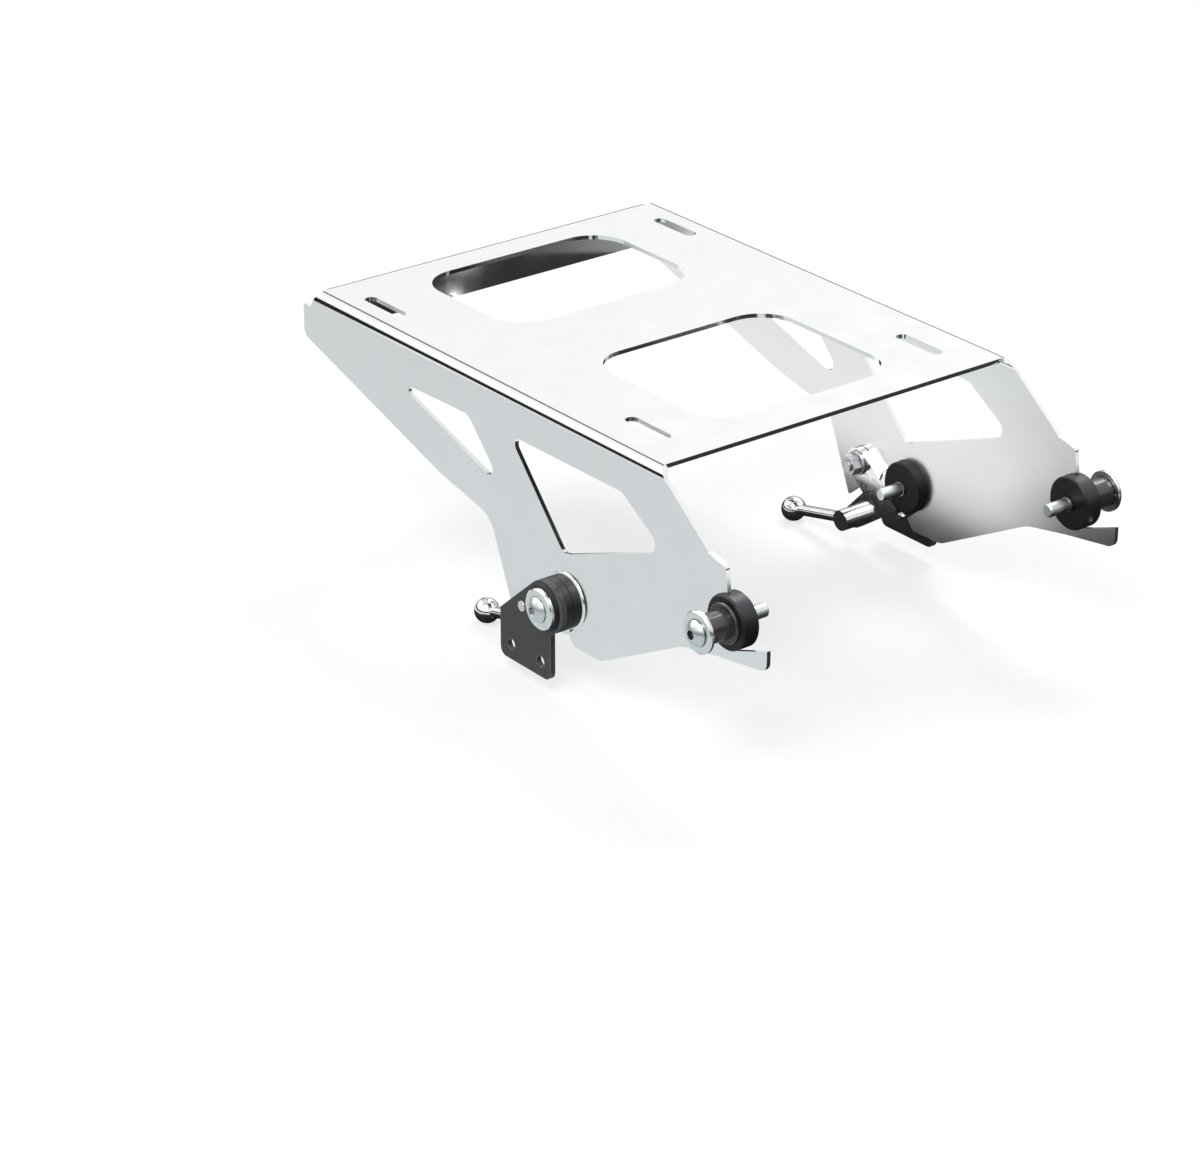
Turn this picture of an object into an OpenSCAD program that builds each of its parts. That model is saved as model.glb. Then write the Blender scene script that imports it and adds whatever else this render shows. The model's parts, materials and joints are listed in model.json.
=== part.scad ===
// Quick-release top box mount: a folded, polished steel rack with four docking points
// X points to the front of the motorcycle, Y to its left and Z up.
// The origin is on the top face, midway between the front and the rear slots.

/* [Rack plate] */
// Outside width over the two side plates
plate_w = 300; // [240:1:360]
// Sheet thickness
sheet_t = 3; // [2.5:0.1:3.6]
// Inside radius of the bends
bend_r = 4; // [3:0.5:5]
// Distance from the origin to the front edge of the top
front_x = 189.4; // [180:0.2:228]
// Distance from the origin to the back of the rear flange
rear_x = 194.8; // [186:0.2:240]
// Depth of the rear flange below the top face
flange_h = 33; // [24:1:36]
// How far the ears of the side plates pass the rear flange
ear_reach = 9.6; // [6:0.2:12]

/* [Top openings] */
// Length of the rear opening
rear_open_l = 115.4; // [96:0.2:138.6]
// Width of the rear opening
rear_open_w = 162; // [140:1:180]
// Web from the back of the rear flange to the rear opening
rear_web = 28.7; // [20:0.1:35]
// Length of the front opening
front_open_l = 136.2; // [113:0.2:150]
// Width of the front opening
front_open_w = 156.4; // [140:0.2:180]
// Web from the front opening to the front edge of the top
front_web = 29.5; // [20:0.1:35]
// Corner radius of both openings
open_r = 28; // [15:1:35]

/* [Box slots] */
// Distance between the rear and the front slots
slot_span_x = 275.2; // [268:0.2:280]
// From the outside of a side plate to the middle of a rear slot
rear_slot_inset = 22.9; // [18:0.1:30]
// From the outside of a side plate to the middle of a front slot
front_slot_inset = 34.3; // [18:0.1:45]
// Length of a slot over its round ends
slot_l = 42.8; // [30:0.2:46]
// Width of a slot
slot_w = 9; // [7:0.1:11]

/* [Docking points] */
// Front docking point ahead of the origin
front_dock_x = 261.5; // [240:0.5:314]
// Front docking point below the top face
front_dock_z = 79.6; // [70:0.2:96]
// Rear docking point ahead of the origin
rear_dock_x = 98.5; // [82:0.5:118.5]
// Rear docking point below the top face
rear_dock_z = 126; // [105:0.5:152]
// Rise of the front hook's slot, which opens forwards
front_hook_angle = 20; // [10:1:28]
// Fall of the rear hook's slot, which opens rearwards
rear_hook_angle = 40; // [34:1:46]
// Diameter of the rubber bushings
bushing_d = 37; // [30.5:0.5:44.5]
// Gap between a bushing and its hook
hook_gap = 0.3; // [0.2:0.05:0.5]
// How far the bushings reach behind the plate's outer face
bushing_in = 10; // [9:0.5:14]
// Diameter of the docking bolts
bolt_d = 10; // [8:1:12]
// Length of the thread at their inner ends
thread_l = 17; // [12:0.5:19]
// Length of the docking bolts under the head
bolt_l = 55; // [50:1:60]
// Diameter of the bolts' button heads
bolt_head_d = 17.6; // [14:0.1:20]
// Height of the button heads
bolt_head_h = 5.5; // [4:0.1:6]
// Hexagon socket across flats
socket_af = 6; // [5:0.5:8]
// Diameter of the steel washers under the heads
washer_d = 28.4; // [24:0.2:30]
// Thickness of those washers
washer_t = 3; // [2:0.2:4]
// Thickness of the cups between the rear washers and the brackets
cup_t = 2.5; // [2:0.1:3]
// Diameter of the front spacer sleeves
sleeve_d = 20; // [16:0.5:24]
// Diameter of the flange on a sleeve's inner end
sleeve_flange_d = 28; // [25:0.5:30]
// Clearance of a bolt in its hole, on the radius
bolt_gap = 0.2; // [0.1:0.05:0.4]

/* [Rear brackets] */
// Thickness of the black brackets
bracket_t = 4; // [3:0.5:4.5]
// Outside face of the brackets, measured from the plate
bracket_face = 20; // [16:0.5:24]
// How far the brackets reach below the rear docking point
bracket_drop = 52; // [48:1:60]
// Diameter of the two fixing holes in a bracket
bracket_hole_d = 8.5; // [6.5:0.5:9]
// Distance between the two fixing holes
bracket_hole_gap = 32; // [28:1:34]

/* [Latches] */
// Latch pivot behind the rear docking point
pivot_back = 48.5; // [47:0.5:52]
// Latch pivot above the rear docking point
pivot_rise = 2; // [0:0.5:5]
// Diameter of the pivot stud
pivot_d = 10; // [8:0.5:12]
// Thickness of the latch hook
latch_t = 5; // [4:0.5:6]
// Diameter of the ball knob
knob_d = 18; // [15:0.5:18]
// Diameter of the latch arm
arm_d = 8; // [7:0.5:9]

/* [Hidden] */
$fn = 96;

side_y = plate_w / 2;
bend_out = bend_r + sheet_t;
rear_tangent = -rear_x + bend_out;
ear_x = -rear_x - ear_reach;
ear_top = bend_out + 5.5;
relief = 4;
eps = 0.01;
far = 400;
through = 1;

front_dock = [front_dock_x, -front_dock_z];
rear_dock = [rear_dock_x, -rear_dock_z];
pivot = rear_dock + [-pivot_back, pivot_rise];
hook_r = bushing_d / 2 + hook_gap;
hook_mouth = bushing_d + hook_gap;
hook_reach = 90;

// Stack of rings at the rear docking point, measured outwards from the plate's outer face
hub_face = 1.4;
ring_t = 1.5;
ring_d = bushing_d + 2.6;
inner_face = hub_face + ring_t;
bracket_back = bracket_face - bracket_t;
seam_face = inner_face + (bracket_back - inner_face) * 0.52;
washer_back = bracket_face + cup_t;
stack_l = washer_back + washer_t;
cup_d = washer_d + 4.6;
front_bushing_face = 3;
sleeve_flange_t = 2;
bolt_hole_d = bolt_d + 2 * bolt_gap;
soft_edge = 0.6;

// Unit vector at an angle, rounded corner and rounded outline
function dir(a) = [cos(a), sin(a)];
function unit(v) = v / norm(v);
function arc_pts(p, c, q, r, n) =
    let (
        u = unit(p - c),
        v = unit(q - c),
        half = acos(u * v) / 2,
        m = c + unit(u + v) * r / sin(half),
        s = c + u * r / tan(half),
        e = c + v * r / tan(half),
        a0 = atan2(s.y - m.y, s.x - m.x),
        a1 = atan2(e.y - m.y, e.x - m.x),
        turn = a1 - a0 > 180 ? a1 - a0 - 360 : a1 - a0 < -180 ? a1 - a0 + 360 : a1 - a0
    )
    [for (i = [0 : n]) m + r * dir(a0 + turn * i / n)];
function rounded(v, n = 8) =
    let (k = len(v))
    [for (i = [0 : k - 1])
        each v[i][2] == 0
            ? [[v[i][0], v[i][1]]]
            : arc_pts(
                [v[(i + k - 1) % k][0], v[(i + k - 1) % k][1]],
                [v[i][0], v[i][1]],
                [v[(i + 1) % k][0], v[(i + 1) % k][1]],
                v[i][2], n)];

// Side plate outline as corners with their radii, seen from the right with the front at the right
function side_outline() = [
    [front_x, 0, 0],
    [front_dock.x - 20, front_dock.y + 39.8, 4],
    [front_dock.x - 3.5, front_dock.y + 36, 3],
    [front_dock.x - 0.8, front_dock.y + hook_r - 6, 0],
    [front_dock.x + 37, front_dock.y + 10, 0],
    [front_dock.x + 37, front_dock.y - 20.5, 7],
    [front_dock.x - 9, front_dock.y - hook_r - 8.7, 30],
    [front_dock.x - 45, front_dock.y - 34.4, 40],
    [rear_dock.x + 34, rear_dock.y - hook_r - 13.2, 14],
    [rear_dock.x + 5.5, rear_dock.y - hook_r - 13.7, 3],
    [rear_dock.x - 14.5, rear_dock.y - 10, 0],
    [rear_dock.x - 48, rear_dock.y - 60, 0],
    [rear_dock.x - 59, rear_dock.y - 37, 0],
    [rear_dock.x - 86, rear_dock.y + 28.7, 20],
    [rear_dock.x - 142.5, rear_dock.y + 40.5, 120],
    [ear_x, -35.7, 7],
    [ear_x, -ear_top, 1.5],
    [-rear_x - 1, -ear_top, 0],
    [rear_tangent, 0, 0]
];
function small_cutout() = [
    [-rear_x + 99.3, -33.9, 3.3],
    [rear_dock.x - 109.8, -31.6, 12],
    [rear_dock.x - 69.8, rear_dock.y + 52.4, 5.3]
];
function big_cutout() = [
    [rear_dock.x - 63.7, -30.5, 5],
    [front_x - 35.5, -29.5, 12],
    [front_dock.x - 64.6, front_dock.y + 23.8, 7],
    [rear_dock.x - 5.3, rear_dock.y + hook_r + 11.5, 8]
];

// Places its children at a point of the right side plate, with +Z pointing outwards
module on_side(p) {
    translate([p.x, -side_y, p.y]) rotate([90, 0, 0]) children();
}
module left() {
    mirror([0, 1, 0]) children();
}
module tube(d, z0, z1, hole_d) {
    difference() {
        translate([0, 0, z0]) cylinder(d = d, h = z1 - z0);
        bore(hole_d, z0, z1);
    }
}
module bore(d, z0, z1) {
    translate([0, 0, z0 - through]) cylinder(d = d, h = z1 - z0 + 2 * through);
}
// Ring on a docking bolt, with its outer edges eased by low and high
module bolt_ring(d, z0, z1, low, high) {
    rotate_extrude() polygon([
        [bolt_hole_d / 2, z0],
        [d / 2 - low, z0],
        [d / 2, z0 + low],
        [d / 2, z1 - high],
        [d / 2 - high, z1],
        [bolt_hole_d / 2, z1]
    ]);
}

// The rack: one folded sheet
module side_profile() {
    difference() {
        polygon(rounded(side_outline()));
        polygon(rounded(small_cutout()));
        polygon(rounded(big_cutout()));
        hook_cut(front_dock, front_hook_angle);
        hook_cut(rear_dock, 180 + rear_hook_angle);
    }
}
module hook_cut(p, a) {
    translate(p) {
        circle(r = hook_r);
        rotate(a) translate([0, -hook_mouth / 2]) square([hook_reach, hook_mouth]);
    }
}
module quarter_bend(length) {
    intersection() {
        tube(2 * bend_out, 0, length, 2 * bend_r);
        cube([bend_out, bend_out, length]);
    }
}
module side_shell() {
    intersection() {
        union() {
            translate([-far, -side_y, -far]) cube([2 * far, sheet_t, far - bend_out]);
            translate([far, -side_y + bend_out, -bend_out]) rotate([90, 0, -90]) quarter_bend(2 * far);
        }
        rotate([90, 0, 0]) linear_extrude(side_y + 1) side_profile();
    }
}
module top_shell() {
    half = side_y - bend_out;
    difference() {
        translate([rear_tangent, -half, -sheet_t]) cube([front_x - rear_tangent, 2 * half, sheet_t]);
        top_opening(-rear_x + rear_web + rear_open_l / 2, rear_open_l, rear_open_w);
        top_opening(front_x - front_web - front_open_l / 2, front_open_l, front_open_w);
        for (s = [-1, 1]) {
            slot(-slot_span_x / 2, s * (side_y - rear_slot_inset));
            slot(slot_span_x / 2, s * (side_y - front_slot_inset));
        }
    }
}
module top_opening(x, l, w) {
    translate([x, 0, -sheet_t - through]) linear_extrude(sheet_t + 2 * through) {
        square([l - 2 * open_r, w], center = true);
        square([l, w - 2 * open_r], center = true);
        for (i = [-1, 1], j = [-1, 1])
            translate([i * (l / 2 - open_r), j * (w / 2 - open_r)]) circle(r = open_r);
    }
}
module slot(x, y) {
    run = slot_l - slot_w;
    cut = sheet_t + 2 * through;
    translate([x, y, -sheet_t - through]) {
        for (s = [-1, 1]) translate([s * run / 2, 0, 0]) cylinder(d = slot_w, h = cut);
        translate([-run / 2, -slot_w / 2, 0]) cube([run, slot_w, cut]);
    }
}
module rear_flange() {
    half = side_y - bend_out - relief;
    translate([-rear_x, -half, -flange_h]) cube([sheet_t, 2 * half, flange_h - bend_out]);
    translate([rear_tangent, -half, -bend_out]) rotate([90, 0, 180]) quarter_bend(2 * half);
}
module rack_plate() {
    color("gainsboro") {
        top_shell();
        side_shell();
        left() side_shell();
        rear_flange();
    }
}

// Docking points
thread_d = bolt_d - 0.6;
thread_lead = 1;
socket_depth = 3.2;
head_rim = 1;
dome_h = bolt_head_h - head_rim;
dome_r = (pow(bolt_head_d / 2, 2) + pow(dome_h, 2)) / (2 * dome_h);
module docking_bolt() {
    tip = stack_l - bolt_l;
    color("silver") difference() {
        union() {
            translate([0, 0, tip])
                cylinder(d1 = thread_d - 2 * thread_lead, d2 = thread_d, h = thread_lead);
            translate([0, 0, tip + thread_lead]) cylinder(d = thread_d, h = thread_l - thread_lead);
            translate([0, 0, tip + thread_l]) cylinder(d = bolt_d, h = bolt_l - thread_l);
            translate([0, 0, stack_l]) rotate_extrude() intersection() {
                square([bolt_head_d / 2, bolt_head_h]);
                translate([0, bolt_head_h - dome_r]) circle(r = dome_r);
            }
        }
        translate([0, 0, stack_l + bolt_head_h - socket_depth])
            cylinder(d = socket_af / cos(30), h = socket_depth + through, $fn = 6);
    }
}
module steel_washer() {
    color("silver") bolt_ring(washer_d, washer_back, stack_l, 0.4, 0.9);
}
module front_bushing() {
    color("dimgray") bolt_ring(bushing_d, -bushing_in, front_bushing_face, 1, 1.2);
}
module front_sleeve() {
    color("dimgray") {
        bolt_ring(sleeve_flange_d, front_bushing_face, front_bushing_face + sleeve_flange_t, 0.3, 0.8);
        bolt_ring(sleeve_d, front_bushing_face, washer_back, 0.3, 0.5);
    }
}
module rear_hub() {
    color("dimgray") bolt_ring(bushing_d, -bushing_in, hub_face, 1, soft_edge);
}
module rear_ring() {
    color("silver") bolt_ring(ring_d, hub_face, inner_face, 0.3, 0.3);
}
module rear_inner_bushing() {
    color("dimgray") bolt_ring(bushing_d, inner_face, seam_face, 0.3, soft_edge);
}
module rear_outer_bushing() {
    color("dimgray") bolt_ring(bushing_d, seam_face, bracket_back, soft_edge, 0.3);
}
module rear_cup() {
    color("black") bolt_ring(cup_d, bracket_face, washer_back, 0.2, 1.2);
}
bracket_pin_d = 7;
bracket_pin_at = [-bushing_d / 2 - 6, -8.2];
bracket_pin_stands = 0.8;
bracket_hole_x = -37;
bracket_hole_rise = 11;
bracket_lean = 133;
bracket_tangent = [bushing_d / 2 * cos(bracket_lean), bushing_d / 2 * sin(bracket_lean), 0];
bracket_outline = [
    [-48.6, -17.8, 2],
    [-48.6, -bracket_drop, 6],
    [6, -bracket_drop, 6],
    [6, 0, 0],
    bracket_tangent
];
module rear_bracket() {
    color("dimgray") difference() {
        translate([0, 0, bracket_back]) {
            cylinder(d = bushing_d, h = bracket_t);
            linear_extrude(bracket_t) polygon(rounded(bracket_outline));
        }
        bore(bolt_hole_d, bracket_back, bracket_face);
        translate(bracket_pin_at) bore(bracket_pin_d, bracket_back, bracket_face);
        for (i = [0, 1])
            translate([bracket_hole_x + i * bracket_hole_gap, -bracket_drop + bracket_hole_rise])
                bore(bracket_hole_d, bracket_back, bracket_face);
    }
}
module bracket_pin() {
    color("tan") translate([bracket_pin_at.x, bracket_pin_at.y, bracket_back])
        cylinder(d = bracket_pin_d, h = bracket_t + bracket_pin_stands);
}

// Latches on the inner faces of the side plates
latch_gap = 0.4;
latch_front = -sheet_t - latch_gap;
latch_back = latch_front - latch_t;
washer_thin = 1.6;
nut_h = 6.5;
nut_af = 13;
stud_thread_d = 8;
latch_washer_d = 18;
pivot_gap = 0.05;
stud_end = 2;
washer_inner = latch_back - latch_gap - washer_thin;
jaw = rear_dock - pivot;
latch_hub_d = pivot_d + 12;
lobe_at = jaw + unit([-24.5, -18]) * (hook_r + 11.6);
lobe_d = 24;
jaw_tip_at = jaw + unit([-9.5, -24]) * (hook_r + 7);
jaw_tip_d = 12;
arm_root = [-2, -42];
arm_lug_d = 17;
arm_boss_d = 15;
knob_at = [-61, -55.6];
knob_air = 1.5;
knob_seat = 1;
arm_z = -sheet_t - knob_d / 2 - knob_air;
arm_l = norm(knob_at - arm_root);
arm_angle = atan2(knob_at.y - arm_root.y, knob_at.x - arm_root.x);
spigot_d = arm_d - 3;
spigot_l = 7;
spigot_gap = 0.1;
module latch_stud() {
    color("silver") {
        translate([0, 0, latch_back - latch_gap])
            cylinder(d = pivot_d, h = -sheet_t - latch_back + latch_gap);
        translate([0, 0, washer_inner - nut_h - stud_end])
            cylinder(d = stud_thread_d, h = washer_thin + nut_h + stud_end + eps);
    }
}
module latch_link(p, pd, q, qd) {
    hull() {
        translate(p) circle(d = pd);
        translate(q) circle(d = qd);
    }
}
module latch_hook() {
    color("silver") difference() {
        union() {
            translate([0, 0, latch_back]) linear_extrude(latch_t) {
                latch_link([0, 0], latch_hub_d, lobe_at, lobe_d);
                latch_link(lobe_at, lobe_d, arm_root, arm_lug_d);
                latch_link(lobe_at, lobe_d, jaw_tip_at, jaw_tip_d);
            }
            translate([arm_root.x, arm_root.y, arm_z - arm_boss_d / 2])
                cylinder(d = arm_boss_d, h = latch_front - arm_z + arm_boss_d / 2);
            translate([arm_root.x, arm_root.y, arm_z]) rotate([0, 0, arm_angle]) rotate([0, 90, 0]) {
                cylinder(d = arm_d, h = arm_l - knob_d / 2 + knob_seat);
                cylinder(d = spigot_d, h = arm_l - knob_d / 2 + spigot_l);
            }
        }
        bore(pivot_d + 2 * pivot_gap, latch_back, latch_front);
        translate(jaw) bore(2 * hook_r, latch_back, latch_front);
    }
}
module latch_knob() {
    color("silver") translate([knob_at.x, knob_at.y, arm_z])
        rotate([0, 0, arm_angle]) rotate([0, -90, 0]) rotate_extrude() difference() {
            circle(d = knob_d);
            translate([-knob_d, -knob_d]) square([knob_d, 2 * knob_d]);
            translate([0, knob_d / 2 - knob_seat]) square([knob_d, knob_seat + eps]);
            translate([0, knob_d / 2 - spigot_l]) square([spigot_d / 2 + spigot_gap, spigot_l]);
        }
}
module latch_washer() {
    color("silver")
        tube(latch_washer_d, washer_inner, washer_inner + washer_thin, stud_thread_d + 2 * bolt_gap);
}
module latch_nut() {
    color("silver") difference() {
        translate([0, 0, washer_inner - nut_h]) cylinder(d = nut_af / cos(30), h = nut_h, $fn = 6);
        bore(stud_thread_d + 2 * pivot_gap, washer_inner - nut_h, washer_inner);
    }
}

rack_plate();
on_side(front_dock) front_bushing();  // right_front_bushing
on_side(front_dock) front_sleeve();  // right_front_sleeve
on_side(front_dock) steel_washer();  // right_front_washer
on_side(front_dock) docking_bolt();  // right_front_bolt
left() on_side(front_dock) front_bushing();  // left_front_bushing
left() on_side(front_dock) front_sleeve();  // left_front_sleeve
left() on_side(front_dock) steel_washer();  // left_front_washer
left() on_side(front_dock) docking_bolt();  // left_front_bolt
on_side(rear_dock) rear_hub();  // right_rear_hub
on_side(rear_dock) rear_ring();  // right_rear_ring
on_side(rear_dock) rear_inner_bushing();  // right_rear_inner_bushing
on_side(rear_dock) rear_outer_bushing();  // right_rear_outer_bushing
on_side(rear_dock) rear_bracket();  // right_rear_bracket
on_side(rear_dock) bracket_pin();  // right_bracket_pin
on_side(rear_dock) rear_cup();  // right_rear_cup
on_side(rear_dock) steel_washer();  // right_rear_washer
on_side(rear_dock) docking_bolt();  // right_rear_bolt
left() on_side(rear_dock) rear_hub();  // left_rear_hub
left() on_side(rear_dock) rear_ring();  // left_rear_ring
left() on_side(rear_dock) rear_inner_bushing();  // left_rear_inner_bushing
left() on_side(rear_dock) rear_outer_bushing();  // left_rear_outer_bushing
left() on_side(rear_dock) rear_bracket();  // left_rear_bracket
left() on_side(rear_dock) bracket_pin();  // left_bracket_pin
left() on_side(rear_dock) rear_cup();  // left_rear_cup
left() on_side(rear_dock) steel_washer();  // left_rear_washer
left() on_side(rear_dock) docking_bolt();  // left_rear_bolt
on_side(pivot) latch_stud();  // right_latch_stud
on_side(pivot) latch_hook();  // right_latch_hook
on_side(pivot) latch_knob();  // right_latch_knob
on_side(pivot) latch_washer();  // right_latch_washer
on_side(pivot) latch_nut();  // right_latch_nut
left() on_side(pivot) latch_stud();  // left_latch_stud
left() on_side(pivot) latch_hook();  // left_latch_hook
left() on_side(pivot) latch_knob();  // left_latch_knob
left() on_side(pivot) latch_washer();  // left_latch_washer
left() on_side(pivot) latch_nut();  // left_latch_nut
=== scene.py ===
"""Looks of the top box mount: a chrome rack, black docking rubbers, zinc bolts and two latches."""
import json
import math

import bpy
from mathutils import Matrix, Vector


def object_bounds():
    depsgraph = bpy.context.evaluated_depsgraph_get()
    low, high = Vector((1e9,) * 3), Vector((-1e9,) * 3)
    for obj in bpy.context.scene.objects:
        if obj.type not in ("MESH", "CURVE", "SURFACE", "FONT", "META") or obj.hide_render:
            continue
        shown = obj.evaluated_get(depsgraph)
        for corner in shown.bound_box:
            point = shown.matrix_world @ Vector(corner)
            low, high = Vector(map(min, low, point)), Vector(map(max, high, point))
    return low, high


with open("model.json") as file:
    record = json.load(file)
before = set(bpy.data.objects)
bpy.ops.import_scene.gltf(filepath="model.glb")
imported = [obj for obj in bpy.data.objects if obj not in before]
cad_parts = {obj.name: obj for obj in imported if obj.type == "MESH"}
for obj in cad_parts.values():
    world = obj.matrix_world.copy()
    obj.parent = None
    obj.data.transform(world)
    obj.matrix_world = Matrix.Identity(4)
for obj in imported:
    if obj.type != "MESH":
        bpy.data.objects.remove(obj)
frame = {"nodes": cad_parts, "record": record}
cad_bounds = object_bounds()

# All lengths are in metres, and this is one millimetre.
MM = 0.001

# The photograph's camera by the fit: its place, its direction and its focal length in the photo's pixels.
PHOTO_WIDTH = 1200
CAMERA_PLACE = Vector((1.98205, -1.58592, 1.01230))
CAMERA_AZIMUTH = math.radians(52.19)
CAMERA_ELEVATION = math.radians(25.38)
FOCAL_PIXELS = 4024.8
# The sensor's width in millimetres, and how far the camera sees.
SENSOR = 36.0
CLIP_END = 50

WHITE = (1.0, 1.0, 1.0)
# How strongly the world lights the object.
WORLD_LIGHT = 0.5
# A dark gap above the horizon, which only mirrors see. It fades out between two z of a direction.
GAP_TOP = (0.15, 0.19)
GAP_LEVEL = 0.02
# The white overhead, which dims a little for mirrors between two z of a direction.
ZENITH = (0.74, 0.96)
ZENITH_LEVEL = 0.66
# A dark seam in the backdrop, which only mirrors see: its range of a direction's y, and how dark it is.
SEAM_LOW, SEAM_HIGH = 0.22, 0.42
SEAM_DEPTH = 0.85

# The floor: its height, which is the object's lowest point, half its width, and its own colour.
FLOOR_LEVEL = cad_bounds[0][2]
FLOOR_HALF = 14.0
FLOOR_COLOUR = (0.92, 0.92, 0.92)
# The colours that mirrors see it in: on the object's right, elsewhere near the object, and far off.
FLOOR_GREY = (0.70, 0.74, 0.75)
FLOOR_PALE = (1.0, 1.0, 0.995)
FLOOR_DARK = (0.02, 0.02, 0.02)
# Where they change: the y at which grey turns pale, and the distances at which it turns white and dark.
GREY_TO_PALE = (-0.16, -0.10)
TURNS_WHITE = (0.72, 0.78)
TURNS_DARK = (0.88, 0.95)
# How much plain white the camera sees in the floor, near and far, and the distances for that.
WHITE_SHARE = (0.68, 1.0)
WHITE_REACH = (1.0, 3.0)
# Black cards just over the floor, which only mirrors see, each by its low and high corner.
FLAGS = (((-0.40, 0.06), (0.66, 0.50)), ((0.07, -0.15), (0.66, 0.02)), ((0.12, 0.02), (0.66, 0.06)),
         ((-0.045, -0.18), (0.025, -0.10)))
FLAG_COLOUR = (0.015, 0.015, 0.018)
FLAG_LIFT = 0.5 * MM
# What the lamps point at, and each lamp's name, place, diameter and power.
LAMP_TARGET = (0.05, 0, -0.1)
LAMPS = (("key", (1.2, -1.9, 2.6), 1.6, 55.0), ("fill", (-1.6, -1.4, 1.6), 1.4, 12.0),
         ("back", (-0.7, 1.45, 2.05), 1.1, 38.0))

# The dot product of the bevelled and the flat normal at which an edge's painted highlight is full.
EDGE_TURN = 0.9
# How open a corner is where the painted shade starts, and where it is full.
CORNER_SHADE_RANGE = (0.8, 0.52)
# The upward part of a normal where the painted light from above starts, and where it is full.
TOP_LIGHT_RANGE = (0.1, 1.0)
# The width of the painted edge highlight on chrome and on paint, where it also stands for rubbed edges, and
# of the pale painted highlight on zinc's edges.
EDGE_HIGHLIGHT = 0.3 * MM
ZINC_EDGE_HIGHLIGHT = 0.45 * MM

# The part of a normal along an axis where a face of the rack starts to count as flat, and where it does.
FLAT = (0.997, 0.9999)
# Roughness of the rack's bends where clear and where hazy, and what its side plates and its top add.
BEND_ROUGH = (0.07, 0.11)
SIDE_ADDS = 0.21
TOP_ADDS = 0.10

SIDES = ("right", "left")
# Pieces outside each rear hook, which reflections leave out.
NOT_MIRRORED = ("ring", "inner_bushing", "outer_bushing", "bracket", "cup", "washer", "bolt")


def make_camera():
    """The photograph's view, by its fitted place, direction and focal length."""
    data = bpy.data.cameras.new("camera")
    data.sensor_width = SENSOR
    data.lens = FOCAL_PIXELS / PHOTO_WIDTH * SENSOR
    data.clip_end = CLIP_END
    camera = bpy.data.objects.new("camera", data)
    bpy.context.scene.collection.objects.link(camera)
    a, e = CAMERA_AZIMUTH, CAMERA_ELEVATION
    back = Vector((math.sin(a) * math.cos(e), -math.cos(a) * math.cos(e), math.sin(e)))
    right = Vector((math.cos(a), math.sin(a), 0))
    up = back.cross(right)
    turn = Matrix((right, up, back)).transposed().to_4x4()
    camera.matrix_world = Matrix.Translation(CAMERA_PLACE) @ turn
    bpy.context.scene.camera = camera


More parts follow.
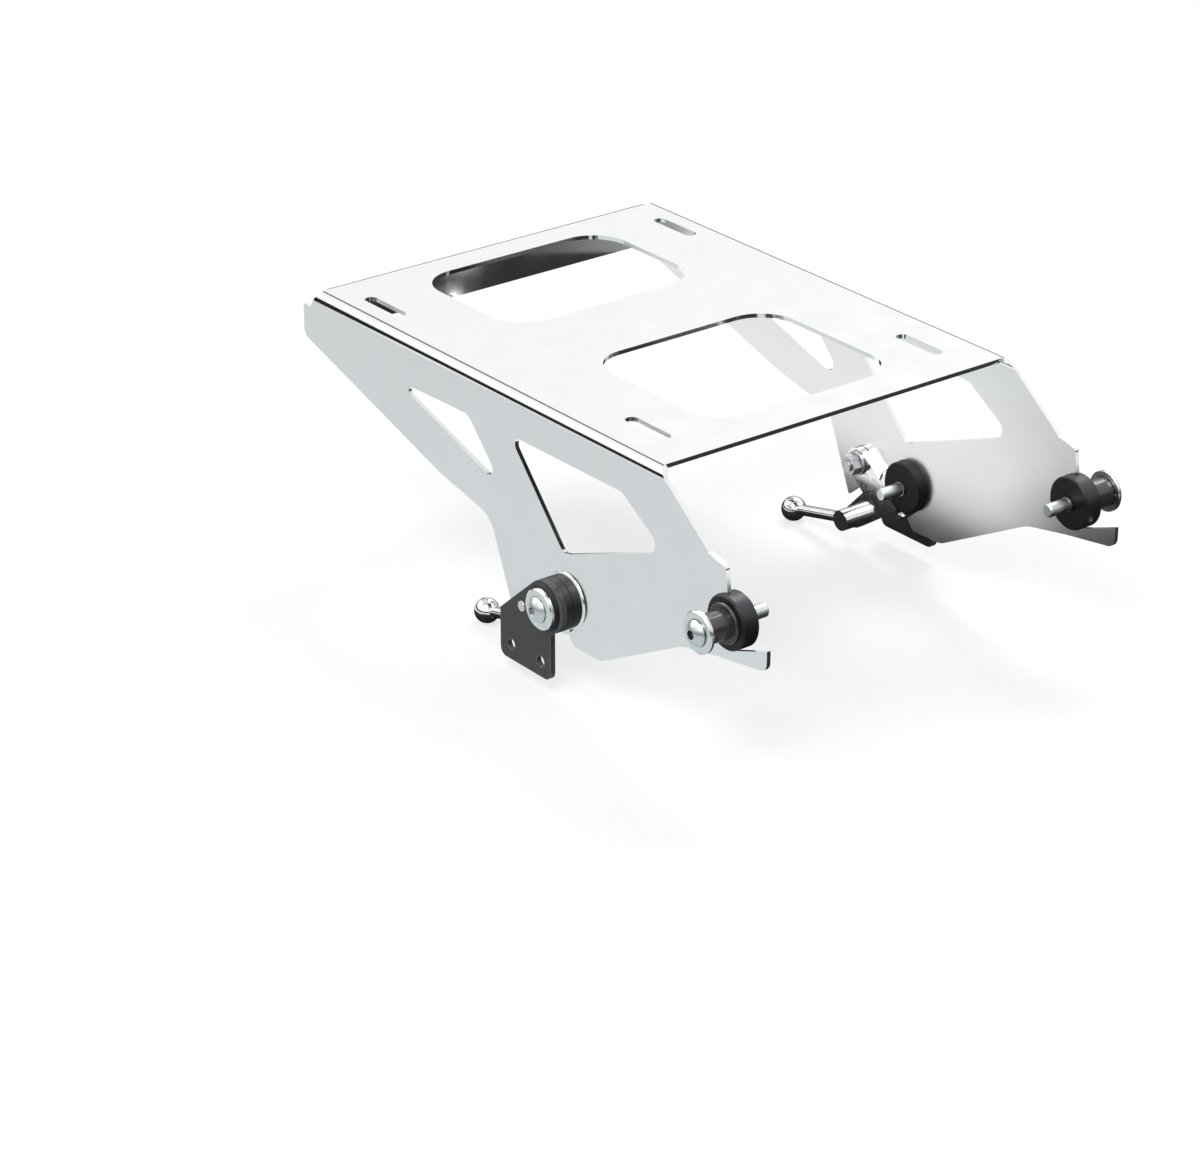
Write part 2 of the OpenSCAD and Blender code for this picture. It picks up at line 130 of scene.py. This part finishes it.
class Graph:
    """A material or world node tree, with short calls to add and join nodes."""

    def __init__(self, tree):
        self.tree = tree
        tree.nodes.clear()

    def add(self, kind, inputs=None, **settings):
        node = self.tree.nodes.new(kind)
        for key, value in settings.items():
            setattr(node, key, value)
        for key, value in (inputs or {}).items():
            self.feed(node.inputs[key], value)
        return node

    def feed(self, socket, value):
        if isinstance(value, bpy.types.NodeSocket):
            self.tree.links.new(value, socket)
        elif isinstance(value, bpy.types.Node):
            self.tree.links.new(value.outputs[0], socket)
        else:
            socket.default_value = value

    def math(self, operation, a, b=0.0, c=0.0):
        return self.add("ShaderNodeMath", {0: a, 1: b, 2: c}, operation=operation).outputs[0]

    def smooth(self, value, low, high, out_low=0.0, out_high=1.0):
        """value carried from low..high to out_low..out_high with soft ends."""
        node = self.add("ShaderNodeMapRange", {"Value": value}, interpolation_type="SMOOTHSTEP")
        ends = {"From Min": low, "From Max": high, "To Min": out_low, "To Max": out_high}
        for key, number in ends.items():
            node.inputs[key].default_value = number
        return node.outputs[0]

    def mix(self, factor, a, b):
        """Colour a where factor is 0 and colour b where it is 1."""
        node = self.add("ShaderNodeMix", data_type="RGBA")
        for socket, value in ((node.inputs[0], factor), (node.inputs[6], a), (node.inputs[7], b)):
            self.feed(socket, value)
        return node.outputs[2]

    def blend(self, factor, a, b):
        """Shader a where factor is 0 and shader b where it is 1."""
        return self.add("ShaderNodeMixShader", {0: factor, 1: a, 2: b}).outputs[0]

    def split(self, vector):
        """The x, y and z of a vector."""
        return self.add("ShaderNodeSeparateXYZ", {0: vector}).outputs[:3]

    def place(self):
        """Position in the object's own frame, in metres."""
        return self.add("ShaderNodeTexCoord").outputs["Object"]

    def normal(self):
        """The surface's normal, split into x, y and z."""
        return self.split(self.add("ShaderNodeNewGeometry").outputs["Normal"])

    def noise(self, coords, scale, detail, rough):
        return self.add("ShaderNodeTexNoise", {"Scale": scale, "Detail": detail, "Roughness": rough,
                                               "Vector": coords}).outputs[0]

    def bump(self, height, depth, strength, normal=None):
        """A normal that follows height to a depth, on top of another normal if one is given."""
        node = self.add("ShaderNodeBump", {"Height": height, "Distance": depth, "Strength": strength})
        if normal is not None:
            self.feed(node.inputs["Normal"], normal)
        return node.outputs[0]

    def edges(self, radius):
        """1 close to an edge of the mesh and 0 elsewhere, from the bevelled normal."""
        bevel = self.add("ShaderNodeBevel", {"Radius": radius}, samples=6)
        flat = self.add("ShaderNodeNewGeometry").outputs["True Normal"]
        dot = self.add("ShaderNodeVectorMath", {0: bevel.outputs[0], 1: flat}, operation="DOT_PRODUCT")
        return self.smooth(dot.outputs["Value"], 1.0, EDGE_TURN)

    def corner_shade(self, reach):
        """1 in corners, where shade is painted dark, and 0 on open surfaces."""
        node = self.add("ShaderNodeAmbientOcclusion", {"Distance": reach}, samples=8)
        return self.smooth(node.outputs["AO"], *CORNER_SHADE_RANGE)

    def painted_top_light(self):
        """1 on what looks up, where light from above is painted, and 0 on what looks sideways or down."""
        return self.smooth(self.normal()[2], *TOP_LIGHT_RANGE)


def rgba(r, g, b):
    return (r, g, b, 1.0)


def scaled(colour, factor):
    """A colour made darker or lighter by a factor."""
    return rgba(*(v * factor for v in colour))


def new_material(name, **sockets):
    """A material, its graph and its shader, with sockets named by words joined with underscores."""
    material = bpy.data.materials.new(name)
    material.use_nodes = True
    graph = Graph(material.node_tree)
    shader = graph.add("ShaderNodeBsdfPrincipled")
    for key, value in sockets.items():
        shader.inputs[key.replace("_", " ")].default_value = value
    graph.output = graph.add("ShaderNodeOutputMaterial", {"Surface": shader.outputs[0]})
    return material, graph, shader


def rack_chrome():
    """Plated sheet: satin side plates, a smoother top, and polished bends and cut edges."""
    material, g, shader = new_material("rack_chrome", Metallic=1.0)
    coords = g.place()
    normal = g.normal()
    side = g.smooth(g.math("ABSOLUTE", normal[1]), *FLAT)
    top = g.smooth(g.math("ABSOLUTE", normal[2]), *FLAT)
    haze = g.noise(coords, scale=38.0, detail=4.0, rough=0.55)
    face = g.mix(g.smooth(haze, 0.35, 0.7), rgba(0.905, 0.915, 0.915), rgba(0.935, 0.94, 0.94))
    # Painted highlight: every edge of the mesh gets a lighter colour.
    g.feed(shader.inputs["Base Color"], g.mix(g.edges(EDGE_HIGHLIGHT), face, rgba(0.97, 0.975, 0.975)))
    rough = g.math("MULTIPLY_ADD", side, SIDE_ADDS, g.smooth(haze, 0.3, 0.75, *BEND_ROUGH))
    g.feed(shader.inputs["Roughness"], g.math("MULTIPLY_ADD", top, TOP_ADDS, rough))
    grain = g.noise(coords, scale=900.0, detail=2.0, rough=0.5)
    g.feed(shader.inputs["Normal"], g.bump(grain, depth=0.012 * MM, strength=0.4))
    return material


def bright_chrome(name, tint, rough):
    """Small polished parts, with light marks from handling."""
    material, g, shader = new_material(name, Metallic=1.0)
    coords = g.place()
    marks = g.noise(coords, scale=420.0, detail=4.0, rough=0.6)
    colour = g.mix(g.smooth(marks, 0.45, 0.75), rgba(*tint), scaled(tint, 0.86))
    g.feed(shader.inputs["Base Color"], colour)
    g.feed(shader.inputs["Roughness"], g.smooth(marks, 0.35, 0.75, rough, rough + 0.09))
    waves = g.noise(coords, scale=60.0, detail=2.0, rough=0.5)
    g.feed(shader.inputs["Normal"], g.bump(waves, depth=0.05 * MM, strength=0.25))
    return material


def zinc_plate(name, tint, mottle, rough, shade_reach, highlight_rim=ZINC_EDGE_HIGHLIGHT):
    """Bright zinc with a mottled passivated film, a pale painted highlight along its edges and painted shade
    in its corners.
    """
    material, g, shader = new_material(name, Metallic=1.0)
    coords = g.place()
    blotch = g.noise(coords, scale=240.0, detail=5.0, rough=0.62)
    fine = g.noise(coords, scale=1500.0, detail=2.0, rough=0.5)
    colour = g.mix(g.smooth(blotch, 0.38, 0.68), rgba(*tint), scaled(tint, mottle))
    # Painted shade: corners and recesses are darkened in the colour.
    colour = g.mix(g.corner_shade(shade_reach), colour, rgba(0.11, 0.12, 0.13))
    # Painted highlight: edges are lightened in the colour.
    g.feed(shader.inputs["Base Color"], g.mix(g.edges(highlight_rim), colour, rgba(0.97, 0.98, 0.98)))
    g.feed(shader.inputs["Roughness"], g.smooth(blotch, 0.3, 0.7, rough, rough + 0.12))
    waves = g.bump(blotch, depth=0.06 * MM, strength=0.5)
    g.feed(shader.inputs["Normal"], g.bump(fine, depth=0.02 * MM, strength=0.5, normal=waves))
    return material


def moulded_rubber(name, tint, rough):
    """Black rubber with a fine skin, a little grey bloom, and painted light from above that makes the top
    lighter.
    """
    material, g, shader = new_material(name, Specular_IOR_Level=0.2)
    coords = g.place()
    bloom = g.noise(coords, scale=70.0, detail=4.0, rough=0.6)
    own_tone = g.mix(g.smooth(bloom, 0.4, 0.75), rgba(*tint), scaled(tint, 1.6))
    # Painted light from above: faces that look up are lighter.
    g.feed(shader.inputs["Base Color"], g.mix(g.painted_top_light(), own_tone, scaled(tint, 8.0)))
    g.feed(shader.inputs["Roughness"], g.smooth(bloom, 0.3, 0.7, rough, rough + 0.12))
    skin = g.noise(coords, scale=1600.0, detail=3.0, rough=0.6)
    g.feed(shader.inputs["Normal"], g.bump(skin, depth=0.03 * MM, strength=0.6))
    return material


def satin_black(name, tint, rough, metallic=0.0):
    """Painted or oxidised black metal with an orange-peel skin, lighter edges that are partly rubbed and
    partly a painted highlight, and a top lightened by painted light from above.
    """
    material, g, shader = new_material(name, Metallic=metallic)
    coords = g.place()
    patch = g.noise(coords, scale=90.0, detail=3.0, rough=0.55)
    own_tone = g.mix(g.smooth(patch, 0.35, 0.7), rgba(*tint), scaled(tint, 1.35))
    # Painted light from above: faces that look up are lighter.
    colour = g.mix(g.painted_top_light(), own_tone, scaled(tint, 2.4))
    # Lighter edges: partly rubbed wear, partly a painted highlight.
    g.feed(shader.inputs["Base Color"], g.mix(g.edges(EDGE_HIGHLIGHT), colour, rgba(0.32, 0.32, 0.33)))
    g.feed(shader.inputs["Roughness"], g.smooth(patch, 0.3, 0.7, rough, rough + 0.1))
    peel = g.noise(coords, scale=520.0, detail=2.0, rough=0.5)
    g.feed(shader.inputs["Normal"], g.bump(peel, depth=0.04 * MM, strength=0.5))
    return material


def dress_frame():
    """Gives every CAD node its finish, by its slot in the record, and keeps some out of reflections."""
    finishes = {
        "rack_chrome": rack_chrome(),
        "latch_chrome": bright_chrome("latch_chrome", (0.88, 0.89, 0.89), rough=0.09),
        "chrome_trim": bright_chrome("chrome_trim", (0.94, 0.94, 0.93), rough=0.05),
        "zinc": zinc_plate("zinc", (0.80, 0.84, 0.84), mottle=0.92, rough=0.20, shade_reach=1.6 * MM,
                           highlight_rim=0.75 * MM),
        "zinc_bolt": zinc_plate("zinc_bolt", (0.76, 0.80, 0.81), mottle=0.80, rough=0.30, shade_reach=5.0 * MM),
        "pin_zinc": zinc_plate("pin_zinc", (0.84, 0.78, 0.73), mottle=0.85, rough=0.34, shade_reach=1.0 * MM),
        "steel": zinc_plate("steel", (0.66, 0.67, 0.68), mottle=0.8, rough=0.3, shade_reach=1.5 * MM),
        "rubber": moulded_rubber("rubber", (0.008, 0.008, 0.009), rough=0.34),
        "rubber_dark": moulded_rubber("rubber_dark", (0.006, 0.006, 0.007), rough=0.45),
        "dark_sleeve": satin_black("dark_sleeve", (0.048, 0.044, 0.045), rough=0.24, metallic=0.6),
        "black_paint": satin_black("black_paint", (0.022, 0.022, 0.024), rough=0.42),
    }
    for part in frame["record"]["subparts"]:
        node = frame["nodes"][part["node"]]
        for slot in node.material_slots:
            slot.material = finishes[part["material_slot"]]
    for side in SIDES:
        for name in NOT_MIRRORED:
            frame["nodes"][f"{side}_rear_{name}"].visible_glossy = False


def studio_world():
    """White light all round. Mirrors also see a dark gap above the horizon and a dark seam."""
    world = bpy.data.worlds.new("studio")
    world.use_nodes = True
    bpy.context.scene.world = world
    g = Graph(world.node_tree)
    direction = g.add("ShaderNodeTexCoord").outputs["Generated"]
    x, y, z = g.split(direction)
    gap = g.smooth(z, *GAP_TOP, GAP_LEVEL, 1.0)
    gap = g.math("MULTIPLY", gap, g.smooth(z, *ZENITH, 1.0, ZENITH_LEVEL))
    seam = g.math("MULTIPLY", g.math("GREATER_THAN", y, SEAM_LOW), g.math("LESS_THAN", y, SEAM_HIGH))
    seam = g.math("MULTIPLY", seam, g.math("LESS_THAN", x, 0.0))
    wall = g.math("MULTIPLY", gap, g.math("MULTIPLY_ADD", seam, -SEAM_DEPTH, 1.0))
    path = g.add("ShaderNodeLightPath")
    mirror = g.add("ShaderNodeBackground", {"Color": wall, "Strength": 1.0})
    plain = g.add("ShaderNodeBackground", {"Color": rgba(*WHITE), "Strength": WORLD_LIGHT})
    seen = g.add("ShaderNodeBackground", {"Color": rgba(*WHITE), "Strength": 1.0})
    lit = g.blend(path.outputs["Is Glossy Ray"], plain, mirror)
    g.add("ShaderNodeOutputWorld", {"Surface": g.blend(path.outputs["Is Camera Ray"], lit, seen)})


def stage_plane(name, low, high, z):
    """A level rectangle between two corners, which isn't part of the object."""
    mesh = bpy.data.meshes.new(name)
    corners = [(low[0], low[1], z), (high[0], low[1], z), (high[0], high[1], z), (low[0], high[1], z)]
    mesh.from_pydata(corners, [], [(0, 1, 2, 3)])
    plane = bpy.data.objects.new(name, mesh)
    bpy.context.scene.collection.objects.link(plane)
    return plane


def studio_floor():
    """A white floor just under the object, which mirrors see grey or pale, then white, then dark far off."""
    floor = stage_plane("floor", (-FLOOR_HALF, -FLOOR_HALF), (FLOOR_HALF, FLOOR_HALF), FLOOR_LEVEL)
    material, g, shader = new_material("floor", Roughness=0.9)
    shader.inputs["Base Color"].default_value = rgba(*FLOOR_COLOUR)
    x, y = g.split(g.place())[:2]
    reach = g.math("SQRT", g.math("ADD", g.math("MULTIPLY", x, x), g.math("MULTIPLY", y, y)))
    mirrored = g.mix(g.smooth(y, *GREY_TO_PALE), rgba(*FLOOR_GREY), rgba(*FLOOR_PALE))
    mirrored = g.mix(g.smooth(reach, *TURNS_WHITE), mirrored, rgba(*WHITE))
    mirrored = g.mix(g.smooth(reach, *TURNS_DARK), mirrored, rgba(*FLOOR_DARK))
    glow = g.add("ShaderNodeEmission", {"Color": mirrored, "Strength": 1.0})
    white = g.add("ShaderNodeEmission", {"Color": rgba(*WHITE), "Strength": 1.0})
    path = g.add("ShaderNodeLightPath")
    share = g.smooth(reach, *WHITE_REACH, *WHITE_SHARE)
    lifted = g.blend(share, shader, white)
    seen = g.blend(path.outputs["Is Camera Ray"], shader, lifted)
    g.feed(g.output.inputs["Surface"], g.blend(path.outputs["Is Glossy Ray"], seen, glow))
    floor.data.materials.append(material)


def studio_flags():
    """Black cards on the floor, which make the dark lines and patches in the chrome."""
    black = new_material("black_flag", Base_Color=rgba(*FLAG_COLOUR), Roughness=0.8,
                         Specular_IOR_Level=0.1)[0]
    for i, (low, high) in enumerate(FLAGS):
        flag = stage_plane(f"black_flag_{i}", low, high, FLOOR_LEVEL + FLAG_LIFT)
        flag.data.materials.append(black)
        flag.visible_camera = flag.visible_diffuse = flag.visible_shadow = False


def studio_lamps():
    """Three soft disks of light, aimed at the object."""
    for name, place, size, power in LAMPS:
        data = bpy.data.lights.new(name, "AREA")
        data.shape = "DISK"
        data.size = size
        data.energy = power
        lamp = bpy.data.objects.new(name, data)
        bpy.context.scene.collection.objects.link(lamp)
        turn = (Vector(LAMP_TARGET) - Vector(place)).to_track_quat("-Z", "Y")
        lamp.matrix_world = Matrix.Translation(place) @ turn.to_matrix().to_4x4()


make_camera()
dress_frame()
studio_world()
studio_floor()
studio_flags()
studio_lamps()
bpy.context.scene.view_settings.view_transform = "Standard"
